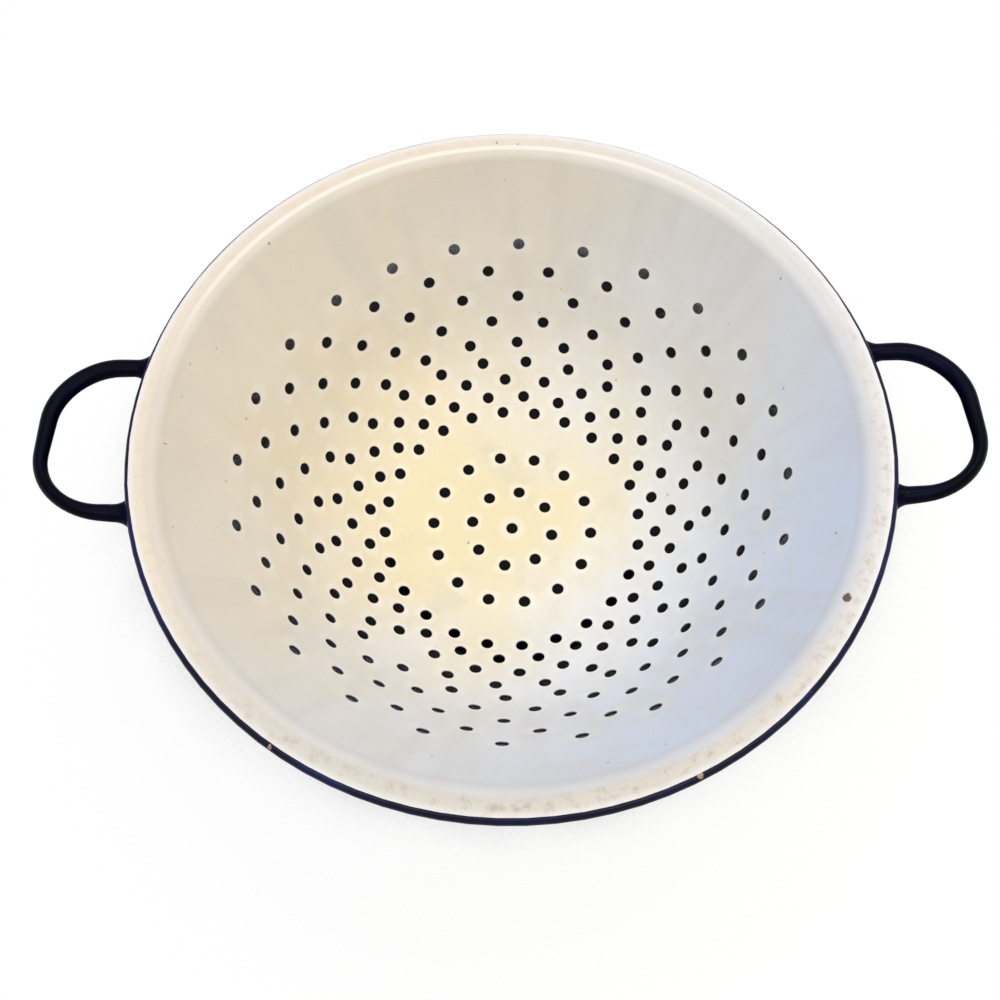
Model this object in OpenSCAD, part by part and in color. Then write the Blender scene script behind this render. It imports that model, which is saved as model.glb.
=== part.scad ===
/* [Rim] */
// Outer diameter over the rolled edge
rim_d = 280; // [240:1:340]
// Width of the flat rim, from the mouth corner to the outer edge
rim_w = 11.1; // [9:0.1:16]
// Diameter of the rolled edge, with its enamel
bead_d = 4.2; // [3.4:0.1:6]
// Radius of the bend between the wall and the rim
mouth_bend_r = 6; // [4:0.5:9]

/* [Bowl] */
// Depth from the top of the rim to the inside of the base
bowl_depth = 94; // [80:1:115]
// Diameter of the flat base
base_flat_d = 50; // [36:1:60]
// Radius of the arc between the base and the wall
base_arc_r = 79; // [60:1:90]

/* [Sheet] */
// Thickness of the pressed steel
steel_t = 0.8; // [0.5:0.05:1.1]
// Thickness of each coat of enamel
enamel_t = 0.25; // [0.1:0.05:0.4]
// Room between the wire and the edge rolled round it
wire_room = 0.05; // [0.02:0.01:0.2]

/* [Holes] */
// Diameter of every drain hole through the enamel
hole_d = 4.8; // [3:0.1:5.2]
// Radius of the first ring of holes in the base
base_ring_1_r = 17.4; // [14:0.1:19]
// Radius of the second ring of holes in the base
base_ring_2_r = 34; // [28:0.1:37]
// Holes in the first ring of the base
base_ring_1_n = 8; // [6:1:10]
// Holes in the second ring of the base
base_ring_2_n = 14; // [10:1:16]
// Radius of the lowest ring of holes in the wall
wall_ring_r = 54.4; // [53:0.1:58]
// Distance outwards from one ring of the wall to the next
wall_ring_pitch = 6.58; // [6:0.02:6.9]
// Rings of holes in the wall
wall_rings = 9; // [5:1:9]
// Holes in each ring of the wall
wall_ring_n = 24; // [18:1:24]

/* [Foot] */
// Gap between the base and the table
base_lift = 14.7; // [10:0.1:22]
// Radius of the foot ring where it meets the bowl
foot_top_r = 46; // [43:0.5:48]
// Radius of the outer edge of the foot ring
foot_edge_r = 55; // [52:0.5:60]
// Width of the flat hem that the foot ring stands on
hem_w = 4; // [3:0.5:6]
// Width of the flange that is welded to the bowl
foot_flange_w = 4.5; // [3:0.5:5]
// Thickness of the foot ring, with its enamel
foot_t = 1.3; // [1:0.1:2]

/* [Handles] */
// Distance between the outer faces of the two handles
handle_span = 348; // [330:1:380]
// Distance between the middles of a handle's two legs
leg_spacing = 61; // [54:1:70]
// Width of the half-round handle bar
bar_w = 6.4; // [5.6:0.1:8]
// Height of the half-round handle bar
bar_h = 4; // [3.6:0.1:5]
// Radius of a handle's corners, at the middle of the bar
corner_r = 22; // [14:1:25]
// Upward tilt of the handles
handle_tilt = 4; // [0:0.5:6]
// Depth of the bar's middle below the rim's top, at the edge of the rim
handle_drop = 5.2; // [4.6:0.1:8]
// Width that the flared end of a leg adds on each side
flare_w = 2.6; // [1.5:0.1:4]
// Length of a leg's flare, out from the edge of the rim
flare_l = 5; // [3:0.5:7]
// Height of the flare's underside above the leg's
flare_lift = 0.4; // [0.2:0.1:1]

/* [Hidden] */
$fn = 96;

cream = [0.93, 0.89, 0.81];
navy = [0.07, 0.09, 0.24];
bare_steel = [0.52, 0.52, 0.53];

// Depths below the finished inside of the bowl
steel_in = enamel_t;
steel_out = enamel_t + steel_t;
wall_t = steel_out + enamel_t;

// Heights above the table
base_z = base_lift + wall_t;
rim_z = base_z + bowl_depth;

rim_r = rim_d / 2;
bead_r = bead_d / 2;
bead_x = rim_r - bead_r;
bead_z = rim_z - bead_r;
mouth_r = rim_r - rim_w;
flat_r = base_flat_d / 2;
arc_z = base_z + base_arc_r;

// The straight wall runs from the mouth corner and touches the base arc
corner_dx = mouth_r - flat_r;
corner_dz = rim_z - arc_z;
wall_a = atan2(corner_dz, corner_dx) + asin(base_arc_r / norm([corner_dx, corner_dz]));

// Middle of the bend between the wall and the rim
bend_x = mouth_r + mouth_bend_r * tan(wall_a / 2);
bend_z = rim_z - mouth_bend_r;

// Handle: middle of the outer stretch, where the legs pass the rim's edge, and their length
leg_y = leg_spacing / 2;
bar_x = (handle_span - bar_w) / 2;
leg_rim_x = sqrt(rim_r ^ 2 - leg_y ^ 2);
leg_root_x = sqrt(mouth_r ^ 2 - leg_y ^ 2) - (handle_drop + bar_h) / tan(wall_a);
leg_len = bar_x - corner_r - leg_root_x;

// Turns of the punched groups: the lowest ring, the next three rings, and the rest
group_turn = [3, 1.3, 12];
base_ring_1_turn = -11.6;
base_ring_2_turn = -5.3;
group_2_start = 2;
group_3_start = 5;
// The one place in the wall that has no hole
blank_ring = 4;
blank_place = 15;

arc_steps = 12;
bend_steps = 6;
bead_steps = 24;
// Where the cream coat ends and the blue coat starts on the rolled edge
coat_line_a = 45;
curl_end_a = -180;
// Length by which a cutting shape runs past what it cuts
over = 1;
reach = 60;

function steps(first, last, count) = [for (i = [0:count]) first + (last - first) * i / count];
function reversed(list) = [for (i = [len(list) - 1:-1:0]) list[i]];
function on_circle(x, z, r, a) = [x + r * cos(a), z + r * sin(a)];

// Points along the bowl's surface at the given depth, from the base's middle to the rolled edge
function bowl_line(depth) = concat(
    [[0, base_z - depth]],
    [for (a = steps(0, wall_a, arc_steps)) on_circle(flat_r, arc_z, base_arc_r + depth, a - 90)],
    [for (a = steps(wall_a, 0, bend_steps)) on_circle(bend_x, bend_z, mouth_bend_r - depth, a + 90)]
);

// Points round the rolled edge at the given depth
function bead_line(depth, first, last) =
    [for (a = steps(first, last, bead_steps)) on_circle(bead_x, bead_z, bead_r - depth, a)];

// Height of the bowl's inside at a radius, and its slope there
function slope_at(r) = r <= flat_r ? 0 : min(wall_a, asin(min(1, (r - flat_r) / base_arc_r)));
function arc_height(a) = arc_z - base_arc_r * cos(a);
function height_at(r) = slope_at(r) < wall_a
    ? arc_height(slope_at(r))
    : arc_height(wall_a) + (r - flat_r - base_arc_r * sin(wall_a)) * tan(wall_a);

module hole_ring(d, r, places, count, turn) {
    for (i = places)
        rotate([0, 0, turn + i * 360 / count])
            translate([r, 0, height_at(r)])
                rotate([0, -slope_at(r), 0])
                    cylinder(h = 2 * (wall_t + over), d = d, center = true, $fn = 32);
}

function group_of(ring) = ring < group_2_start ? 0 : ring < group_3_start ? 1 : 2;

module drain_holes(d) {
    hole_ring(d, 0, [0], 1, 0);
    hole_ring(d, base_ring_1_r, [0:base_ring_1_n - 1], base_ring_1_n, base_ring_1_turn);
    hole_ring(d, base_ring_2_r, [0:base_ring_2_n - 1], base_ring_2_n, base_ring_2_turn);
    for (ring = [1:wall_rings])
        hole_ring(
            d,
            wall_ring_r + (ring - 1) * wall_ring_pitch,
            [for (i = [0:wall_ring_n - 1]) if (ring != blank_ring || i != blank_place) i],
            wall_ring_n,
            group_turn[group_of(ring)] + (ring % 2 == 0 ? 180 / wall_ring_n : 0)
        );
}

module bowl_sheet() {
    color(bare_steel)
        difference() {
            rotate_extrude()
                polygon(concat(
                    bowl_line(steel_in),
                    bead_line(steel_in, 90, curl_end_a),
                    reversed(bead_line(steel_out, 90, curl_end_a)),
                    reversed(bowl_line(steel_out))
                ));
            drain_holes(hole_d + 2 * enamel_t);
        }
}

module inner_enamel() {
    color(cream)
        difference() {
            rotate_extrude()
                polygon(concat(
                    bowl_line(0),
                    bead_line(0, 90, coat_line_a),
                    reversed(bead_line(steel_in, 90, coat_line_a)),
                    reversed(bowl_line(steel_in))
                ));
            drain_holes(hole_d);
        }
}

module outer_enamel() {
    color(navy)
        difference() {
            rotate_extrude()
                polygon(concat(
                    bowl_line(wall_t),
                    [[bead_x - bead_r, rim_z - wall_t]],
                    bead_line(0, curl_end_a, coat_line_a),
                    reversed(bead_line(steel_in, curl_end_a, coat_line_a)),
                    [[bead_x - bead_r + steel_in, rim_z - steel_out]],
                    reversed(bowl_line(steel_out))
                ));
            drain_holes(hole_d);
        }
}

module rim_wire() {
    color(bare_steel)
        rotate_extrude()
            translate([bead_x, bead_z])
                circle(r = bead_r - steel_out - wire_room, $fn = 32);
}

// Everything inside the bowl's finished outer surface, as a half section
module bowl_section() {
    polygon(concat(bowl_line(wall_t), [[bead_x, rim_z - wall_t], [bead_x, rim_z + reach], [0, rim_z + reach]]));
    translate([bead_x, bead_z])
        circle(r = bead_r);
}

module foot_ring() {
    color(navy)
        rotate_extrude()
            difference() {
                polygon([
                    [foot_edge_r, 0],
                    [foot_edge_r, foot_t],
                    [foot_edge_r - hem_w + foot_t, foot_t],
                    [foot_top_r, base_z],
                    [foot_top_r - foot_flange_w, base_z],
                    [foot_top_r - foot_flange_w, base_lift - foot_t],
                    [foot_top_r - foot_t, base_lift - foot_t],
                    [foot_edge_r - hem_w, 0]
                ]);
                bowl_section();
            }
}

module bar_section() {
    intersection() {
        circle(d = bar_w, $fn = 48);
        translate([-bar_w / 2, bar_w / 2 - bar_h])
            square([bar_w, bar_h]);
    }
}

// Straight stretch of bar from the origin along -X
module straight_bar(length) {
    rotate([90, 0, -90])
        linear_extrude(length)
            bar_section();
}

// Flared end of a leg, from under the rolled edge outwards, with the rim's edge at the origin
module leg_flare() {
    linear_extrude(bar_h - bead_r / 2 - flare_lift)
        polygon([
            [-bead_d, -bar_w / 2 - flare_w],
            [0, -bar_w / 2 - flare_w],
            [flare_l, -bar_w / 4],
            [flare_l, bar_w / 4],
            [0, bar_w / 2 + flare_w],
            [-bead_d, bar_w / 2 + flare_w]
        ]);
}

// Half of the bar lying flat, with the middle of its half-round section at height 0
module half_handle() {
    translate([bar_x, 0, 0])
        rotate([0, 0, -90])
            straight_bar(leg_y - corner_r);
    translate([bar_x - corner_r, leg_y - corner_r, 0])
        rotate_extrude(angle = 90)
            translate([corner_r, 0])
                bar_section();
    translate([bar_x - corner_r, leg_y, 0])
        straight_bar(leg_len);
    rotate([0, 0, asin(leg_y / rim_r)])
        translate([rim_r, 0, bar_w / 2 - bar_h + flare_lift])
            leg_flare();
}

module flat_handle() {
    half_handle();
    mirror([0, 1, 0])
        half_handle();
}

// The handle tilts about the place where its legs pass the edge of the rim
module handle() {
    color(navy)
        difference() {
            translate([leg_rim_x, 0, rim_z - handle_drop])
                rotate([0, -handle_tilt, 0])
                    translate([-leg_rim_x, 0, (bar_h - bar_w) / 2])
                        flat_handle();
            rotate_extrude()
                bowl_section();
        }
}

module left_handle() {
    rotate([0, 0, 180])
        handle();
}

module right_handle() {
    handle();
}

bowl_sheet();
inner_enamel();
outer_enamel();
rim_wire();
foot_ring();
left_handle();
right_handle();
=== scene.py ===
"""Looks of the enamel colander: coats with rolled hole edges, handles, foot ring, finishes and light."""

import logging
import math
from dataclasses import dataclass, field
from enum import Enum, IntEnum

import bmesh
import bpy
from mathutils import Matrix, Vector


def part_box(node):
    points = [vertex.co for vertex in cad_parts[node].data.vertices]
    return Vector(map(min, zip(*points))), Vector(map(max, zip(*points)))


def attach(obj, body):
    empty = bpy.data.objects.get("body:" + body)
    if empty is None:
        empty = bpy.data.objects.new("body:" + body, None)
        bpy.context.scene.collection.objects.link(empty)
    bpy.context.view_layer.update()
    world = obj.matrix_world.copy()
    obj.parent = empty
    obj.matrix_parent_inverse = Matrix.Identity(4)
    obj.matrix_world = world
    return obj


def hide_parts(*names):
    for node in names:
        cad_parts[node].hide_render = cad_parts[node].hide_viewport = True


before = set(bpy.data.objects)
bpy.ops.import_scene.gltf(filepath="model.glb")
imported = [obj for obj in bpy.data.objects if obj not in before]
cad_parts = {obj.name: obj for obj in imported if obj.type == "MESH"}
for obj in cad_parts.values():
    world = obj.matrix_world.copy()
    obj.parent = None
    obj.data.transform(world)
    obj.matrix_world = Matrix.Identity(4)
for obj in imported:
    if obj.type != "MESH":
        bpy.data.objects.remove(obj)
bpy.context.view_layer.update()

LOG = logging.getLogger("colander")
MM = 0.001
BODY = "root"
Colour = tuple[float, float, float]
Band = tuple[float, float]
Mesh = bmesh.types.BMesh
Vert = bmesh.types.BMVert
Edge = bmesh.types.BMEdge
Node = bpy.types.Node
Socket = bpy.types.NodeSocket


class Side(Enum):
    """The two sides of the sheet that carry enamel."""

    INSIDE = "inside"
    OUTSIDE = "outside"


class Stretch(IntEnum):
    """Stretches of the half section that are looked up by number, and the section's end."""

    BEND = 3
    FLAT = 4
    END = 5


def polar(radius: float, azimuth: float, height: float) -> Vector:
    """Gives the point at a radius, a direction in radians and a height."""
    return Vector((radius * math.cos(azimuth), radius * math.sin(azimuth), height))


def azimuth_of(place: Vector) -> float:
    """Gives the direction of a point round the axis, in radians."""
    return math.atan2(place.y, place.x)


def line_of_sight(azimuth: float, elevation: float) -> Vector:
    """Gives the unit vector towards an azimuth and an elevation in degrees."""
    up = math.radians(elevation)
    return polar(math.cos(up), math.radians(azimuth), math.sin(up))


def held(value: float) -> float:
    """Holds a value between 0 and 1."""
    return min(max(value, 0.0), 1.0)


@dataclass(frozen=True)
class Run:
    """A straight or round stretch of the bowl's half section."""

    length: float
    turn: float = 0.0


@dataclass(frozen=True)
class Station:
    """A place on the half section: its distance from the axis, its height and its slope."""

    radius: float
    height: float
    slope: float

    def sunk(self, depth: float) -> tuple[float, float]:
        """Gives radius and height at a depth into the sheet, square to the inside surface.

        Args:
            depth: Distance from the inside surface towards the outside, in metres.

        Returns:
            The radius and the height.
        """
        return self.radius + depth * math.sin(self.slope), self.height - depth * math.cos(self.slope)


@dataclass
class BowlLine:
    """Half section of the bowl's inside: flat base, arc, straight wall, bend, flat rim and rolled edge."""

    base_z: float
    rim_z: float
    rim_r: float = 140 * MM
    rim_w: float = 11.1 * MM
    bead_r: float = 2.1 * MM
    bend_r: float = 7 * MM
    flat_r: float = 25 * MM
    arc_r: float = 79 * MM
    wall_a: float = field(init=False)
    runs: list[Run] = field(init=False)

    def __post_init__(self) -> None:
        """Works out the wall's slope and the length of each stretch."""
        across = self.rim_r - self.rim_w - self.flat_r
        up = self.rim_z - self.base_z - self.arc_r
        self.wall_a = math.atan2(up, across) + math.asin(self.arc_r / math.hypot(across, up))
        arc_end = self.flat_r + self.arc_r * math.sin(self.wall_a)
        bend_half = self.bend_r * math.tan(self.wall_a / 2)
        mouth = self.rim_r - self.rim_w
        wall_length = (mouth - arc_end) / math.cos(self.wall_a) - bend_half
        self.runs = [
            Run(self.flat_r),
            Run(self.arc_r * self.wall_a, self.wall_a),
            Run(wall_length),
            Run(self.bend_r * self.wall_a, -self.wall_a),
            Run(self.bead_x - mouth - bend_half),
        ]

    @property
    def bead_x(self) -> float:
        """Radius of the circle through the middle of the rolled edge."""
        return self.rim_r - self.bead_r

    @property
    def bead_z(self) -> float:
        """Height of the middle of the rolled edge."""
        return self.rim_z - self.bead_r

    def start_of(self, index: int) -> float:
        """Distance along the line at which a stretch starts."""
        return sum(run.length for run in self.runs[:index])

    def at(self, distance: float) -> Station:
        """Finds the place at a distance along the line.

        Args:
            distance: Distance from the axis, measured along the inside surface.

        Returns:
            The place there.
        """
        radius, height, slope = 0.0, self.base_z, 0.0
        left = distance
        for run in self.runs:
            part = min(left, run.length)
            if run.turn:
                bend = run.length / run.turn
                end = slope + part / bend
                radius += bend * (math.sin(end) - math.sin(slope))
                height += bend * (math.cos(slope) - math.cos(end))
                slope = end
            else:
                radius += part * math.cos(slope)
                height += part * math.sin(slope)
            left -= part
            if left <= 0:
                break
        return Station(radius, height, slope)

    def distance_at(self, radius: float) -> float:
        """Distance along the line at which the base, the arc or the wall has this radius."""
        arc_end = self.flat_r + self.arc_r * math.sin(self.wall_a)
        if radius <= self.flat_r:
            return radius
        if radius <= arc_end:
            return self.flat_r + self.arc_r * math.asin((radius - self.flat_r) / self.arc_r)
        return self.flat_r + self.arc_r * self.wall_a + (radius - arc_end) / math.cos(self.wall_a)

    def outside_radius(self, height: float, wall_t: float) -> float:
        """Radius of the wall's outside at a height on its straight stretch."""
        drop = (self.rim_z - height) / math.tan(self.wall_a)
        return self.rim_r - self.rim_w - drop + wall_t / math.sin(self.wall_a)


@dataclass(frozen=True)
class HoleRing:
    """One ring of drain holes and the band of wall that belongs to it."""

    radius: float
    count: int
    turn: float
    low: float
    high: float
    low_shift: float = 0.0
    blank: int = -1


@dataclass
class HolePattern:
    """All rings of drain holes, with the bands between them."""

    line: BowlLine
    hole_r: float = 2.4 * MM
    base_1: tuple[float, int, float] = (17.4 * MM, 8, -11.6)
    base_2: tuple[float, int, float] = (34 * MM, 14, -5.3)
    base_band: float = 5.6 * MM
    wall_r: float = 54.4 * MM
    wall_pitch: float = 6.58 * MM
    wall_rings: int = 9
    wall_count: int = 24
    group_turns: tuple[float, float, float] = (3.0, 1.3, 12.0)
    group_starts: tuple[int, int] = (2, 5)
    blank_ring: int = 4
    blank_place: int = 15
    sides: int = 16
    corners: int = 4

    def turn_of(self, ring: int) -> float:
        """Turn of a wall ring, in degrees."""
        group = sum(ring >= start for start in self.group_starts)
        half = 180 / self.wall_count if ring % 2 == 0 else 0.0
        return self.group_turns[group] + half

    def rings_in_base(self) -> list[HoleRing]:
        """The two rings in the base."""
        made = []
        for radius, count, turn in (self.base_1, self.base_2):
            low = self.line.distance_at(radius - self.base_band)
            high = self.line.distance_at(radius + self.base_band)
            made.append(HoleRing(radius, count, turn, low, high))
        return made

    def rings_in_wall(self) -> list[HoleRing]:
        """The rings in the wall, lowest first, each band ending where the next starts."""
        radii = [self.wall_r + i * self.wall_pitch for i in range(self.wall_rings)]
        places = [self.line.distance_at(r) for r in radii]
        joints = [(a + b) / 2 for a, b in zip(places, places[1:])]
        joints.insert(0, places[0] - (places[1] - places[0]) / 2)
        joints.append(places[-1] + (places[-1] - places[-2]) / 2)
        step = 360 / self.wall_count / (self.sides / self.corners)
        made = []
        for i, radius in enumerate(radii):
            shift = 0.0
            if i > 0:
                off = self.turn_of(i) - self.turn_of(i + 1)
                shift = off - step * round(off / step)
            blank = self.blank_place if i + 1 == self.blank_ring else -1
            turn = self.turn_of(i + 1)
            made.append(HoleRing(radius, self.wall_count, turn, joints[i], joints[i + 1], shift, blank))
        return made


@dataclass(frozen=True)
class Lip:
    """One step of a hole's lip: distance from the hole's axis, distance below the surface, and nearness."""

    reach: float
    away: float
    near: float


def grown(mesh: Mesh, edges: list[Edge]) -> tuple[list[Vert], list[Edge]]:
    """Extrudes a loop of edges and gives the new loop.

    Args:
        mesh: Mesh that holds the loop.
        edges: Edges of the loop.

    Returns:
        The new loop's vertices and edges.
    """
    out = bmesh.ops.extrude_edge_only(mesh, edges=edges)["geom"]
    verts = [item for item in out if isinstance(item, Vert)]
    fresh = set(verts)
    return verts, [e for e in out if isinstance(e, Edge) and fresh.issuperset(e.verts)]


def take_over(mesh: Mesh, part: Mesh) -> None:
    """Adds one bmesh to another and frees it.

    Args:
        mesh: Mesh that gets the geometry.
        part: Mesh that is added and freed.
    """
    data = bpy.data.meshes.new("part")
    part.to_mesh(data)
    part.free()
    mesh.from_mesh(data)
    bpy.data.meshes.remove(data)


@dataclass
class Coat:
    """One coat of enamel on the bowl, as a closed shell with a rolled lip at every hole."""

    name: str
    side: Side
    line: BowlLine
    pattern: HolePattern
    wall_t: float = 1.3 * MM
    coat_t: float = 0.25 * MM
    lip_r: float = 0.35 * MM
    swell: float = 0.05 * MM
    swell_w: float = 0.5 * MM
    edge_a: float = 84.0
    edge_lean: tuple[float, float] = (3.0, -32.0)
    edge_wander: float = 8.0
    edge_top: float = 89.0
    edge_waves: tuple[tuple[float, int, float], ...] = ((0.3, 3, 0.7), (0.3, 11, 0.0), (0.4, 37, 2.0))
    lip_angles: tuple[int, ...] = (0, 45, 80)
    lip_fade: float = 0.3
    lip_near: float = 0.5
    patch_steps: tuple[float, ...] = (0.42, 1.0)
    blank_share: float = 0.6
    middle_share: float = 0.7
    foot_gap: float = 2.5 * MM
    foot_gap_steps: int = 3
    top_steps: int = 4
    bend_steps: int = 8
    flat_steps: int = 3
    under_steps: int = 2
    bead_inside: tuple[float, int] = (90.0, 4)
    bead_outside: tuple[float, int] = (160.0, 16)
    least_r: float = 1e-9
    slack: float = 1e-6
    same_place: float = 0.02 * MM
    merge: float = 0.005 * MM

    def depth(self, away: float) -> float:
        """Turns a distance below this coat's own surface into a depth below the inside."""
        return away if self.side is Side.INSIDE else self.wall_t - away

    def lip(self) -> list[Lip]:
        """Steps of the lip, from the wall of the hole out to the flat surface."""
        hole = self.pattern.hole_r
        steps = []
        if self.side is Side.OUTSIDE:
            steps.append(Lip(hole, self.wall_t - self.lip_r, 1.0))
        for angle in self.lip_angles:
            a = math.radians(angle)
            reach = hole + self.lip_r * (1 - math.cos(a))
            away = self.lip_r - (self.lip_r + self.swell) * math.sin(a)
            steps.append(Lip(reach, away, 1.0 - self.lip_fade * math.sin(a)))
        steps.append(Lip(hole + self.lip_r + self.swell_w, 0.0, self.lip_near))
        return steps

    def on_surface(self, azimuth: float, distance: float, away: float) -> Vector:
        """Finds a point of the coat.

        Args:
            azimuth: Direction round the axis, in radians.
            distance: Distance from the axis along the inside surface.
            away: Distance below the coat's own surface.

        Returns:
            The point in the object's frame.
        """
        radius, height = self.line.at(distance).sunk(self.depth(away))
        return polar(radius, azimuth, height)

    def round_place(self, middle: float, azimuth: float, angle: float, reach: float) -> tuple[float, float]:
        """Azimuth and distance of a point on a circle round a hole."""
        side_step = reach * math.cos(angle)
        distance = middle + reach * math.sin(angle)
        here = self.line.at(distance)
        radius = max(here.radius, self.least_r)
        spill = math.hypot(radius, side_step) - radius
        return azimuth + math.atan2(side_step, radius), distance + spill * math.cos(here.slope)

    def band_place(self, ring: HoleRing, azimuth: float, angle: float) -> tuple[float, float]:
        """Azimuth and distance of a point on the border of a hole's own patch."""
        turned = (math.degrees(angle) + 45) / 90
        quarter = math.floor(turned + self.slack)
        along = (turned - quarter) * 2 - 1
        x, y = ((1, along), (-along, 1), (-1, -along), (along, -1))[quarter % 4]
        share = (y + 1) / 2
        half = math.pi / ring.count
        slip = math.radians(ring.low_shift) * (1 - share)
        return azimuth + x * half + slip, ring.low + share * (ring.high - ring.low)

    def patch(self, ring: HoleRing, place: int) -> Mesh:
        """Makes the patch of one hole, from the lip out to the patch's border.

        Args:
            ring: Ring that the hole belongs to.
            place: Number of the hole in its ring.

        Returns:
            A bmesh of its own.
        """
        mesh = bmesh.new()
        angle_of = mesh.verts.layers.float.new("angle")
        near_of = mesh.verts.layers.float.new("hole_near")
        middle = self.line.distance_at(ring.radius)
        azimuth = math.radians(ring.turn + place * 360 / ring.count)
        blank = place == ring.blank
        steps = [Lip(self.pattern.hole_r * self.blank_share, 0.0, 0.0)] if blank else self.lip()
        sides = self.pattern.sides
        verts = bmesh.ops.create_circle(mesh, segments=sides, radius=1.0, cap_ends=blank)["verts"]
        for vert in verts:
            vert[angle_of] = math.atan2(vert.co.y, vert.co.x) % math.tau
        edges = mesh.edges[:]
        for index, step in enumerate(steps):
            if index:
                verts, edges = grown(mesh, edges)
            for vert in verts:
                place_there = self.round_place(middle, azimuth, vert[angle_of], step.reach)
                vert.co = self.on_surface(*place_there, step.away)
                vert[near_of] = step.near
        outer = steps[-1]
        for share in self.patch_steps:
            verts, edges = grown(mesh, edges)
            for vert in verts:
                near = self.round_place(middle, azimuth, vert[angle_of], outer.reach)
                far = self.band_place(ring, azimuth, vert[angle_of])
                mixed = [n + (f - n) * share for n, f in zip(near, far)]
                vert.co = self.on_surface(*mixed, 0.0)
                vert[near_of] = outer.near * (1 - share) ** 2
        return mesh

    def add_ring(self, mesh: Mesh, ring: HoleRing) -> None:
        """Adds all patches of a ring: one is made and then spun round the axis in copies."""
        has_blank = ring.blank >= 0
        first = self.patch(ring, ring.blank + 1)
        copies = ring.count - (2 if has_blank else 1)
        bmesh.ops.spin(
            first, geom=first.verts[:] + first.edges[:] + first.faces[:], cent=Vector(), dvec=Vector(),
            axis=Vector((0, 0, 1)), angle=math.tau * copies / ring.count, steps=copies, use_duplicate=True,
        )
        take_over(mesh, first)
        if has_blank:
            take_over(mesh, self.patch(ring, ring.blank))

    def border(self, mesh: Mesh, distance: float) -> list[Edge]:
        """Finds the open edges that lie on one circle of the coat."""
        radius, height = self.line.at(distance).sunk(self.depth(0.0))

        def fits(vert: Vert) -> bool:
            """Whether a vertex lies on the circle."""
            off = max(abs(math.hypot(vert.co.x, vert.co.y) - radius), abs(vert.co.z - height))
            return off < self.same_place

        return [e for e in mesh.edges if e.is_boundary and all(fits(v) for v in e.verts)]

    def run_on(self, mesh: Mesh, edges: list[Edge], stops: list[tuple[float, float]]) -> list[Edge]:
        """Carries a loop of edges on through circles given by radius and height.

        Args:
            mesh: Mesh that holds the loop.
            edges: Loop to carry on.
            stops: Radius and height of each new circle.

        Returns:
            The last loop.
        """
        for radius, height in stops:
            verts, edges = grown(mesh, edges)
            for vert in verts:
                vert.co = polar(radius, azimuth_of(vert.co), height)
        return edges

    def stops(self, first: float, last: float, count: int) -> list[tuple[float, float]]:
        """Radius and height of evenly spaced circles between two distances, the first left out."""
        spots = [first + (last - first) * i / count for i in range(1, count + 1)]
        return [self.line.at(spot).sunk(self.depth(0.0)) for spot in spots]

    def edge_angle(self, azimuth: float) -> float:
        """Angle on the rolled edge, in degrees, at which cream meets blue: higher on the near side."""
        wave = sum(size * math.sin(count * azimuth + start) for size, count, start in self.edge_waves)
        lean = self.edge_lean[0] * math.cos(azimuth) + self.edge_lean[1] * math.sin(azimuth)
        return min(self.edge_a + lean + self.edge_wander * wave, self.edge_top)

    def wrap_bead(self, mesh: Mesh, edges: list[Edge], first: float, count: int) -> None:
        """Carries a loop round the rolled edge from an angle to the seam between the two coats.

        Args:
            mesh: Mesh that holds the loop.
            edges: Loop to carry on.
            first: Angle at which the loop lies, in degrees.
            count: Number of new loops.
        """
        line = self.line
        full = 360 if self.side is Side.OUTSIDE else 0
        for step in range(1, count + 1):
            verts, edges = grown(mesh, edges)
            for vert in verts:
                azimuth = azimuth_of(vert.co)
                last = self.edge_angle(azimuth) + full
                a = math.radians(first + (last - first) * step / count)
                height = line.bead_z + line.bead_r * math.sin(a)
                vert.co = polar(line.bead_x + line.bead_r * math.cos(a), azimuth, height)

    def add_base(self, mesh: Mesh, rings: list[HoleRing], first_wall: float) -> None:
        """Adds the middle hole and joins the two rings of the base and the wall."""
        bmesh.ops.remove_doubles(mesh, verts=mesh.verts[:], dist=self.merge)
        self.add_middle(mesh, rings[0].low)
        bmesh.ops.bridge_loops(mesh, edges=self.border(mesh, rings[0].high) + self.border(mesh, rings[1].low))
        gap_end = rings[1].high + self.foot_gap
        self.run_on(mesh, self.border(mesh, first_wall), self.stops(first_wall, gap_end, self.foot_gap_steps))
        bmesh.ops.bridge_loops(mesh, edges=self.border(mesh, rings[1].high) + self.border(mesh, gap_end))

    def add_middle(self, mesh: Mesh, border: float) -> None:
        """Closes the base's first ring inwards, down to the lip of the hole in the middle."""
        near_of = mesh.verts.layers.float["hole_near"]
        edges = self.border(mesh, border)
        for step in (Lip(border * self.middle_share, 0.0, 0.0), *reversed(self.lip())):
            verts, edges = grown(mesh, edges)
            for vert in verts:
                vert.co = self.on_surface(azimuth_of(vert.co), step.reach, step.away)
                vert[near_of] = step.near

    def add_rim(self, mesh: Mesh, last_wall: float) -> None:
        """Carries the wall on over the bend and the flat rim to the coat's edge on the rolled edge."""
        bend, flat, end = (self.line.start_of(stretch) for stretch in Stretch)
        edges = self.run_on(mesh, self.border(mesh, last_wall), self.stops(last_wall, bend, self.top_steps))
        edges = self.run_on(mesh, edges, self.stops(bend, flat, self.bend_steps))
        if self.side is Side.INSIDE:
            edges = self.run_on(mesh, edges, self.stops(flat, end, self.flat_steps))
            self.wrap_bead(mesh, edges, *self.bead_inside)
        else:
            under = end - self.line.bead_r
            edges = self.run_on(mesh, edges, self.stops(flat, under, self.under_steps))
            self.wrap_bead(mesh, edges, *self.bead_outside)

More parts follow.
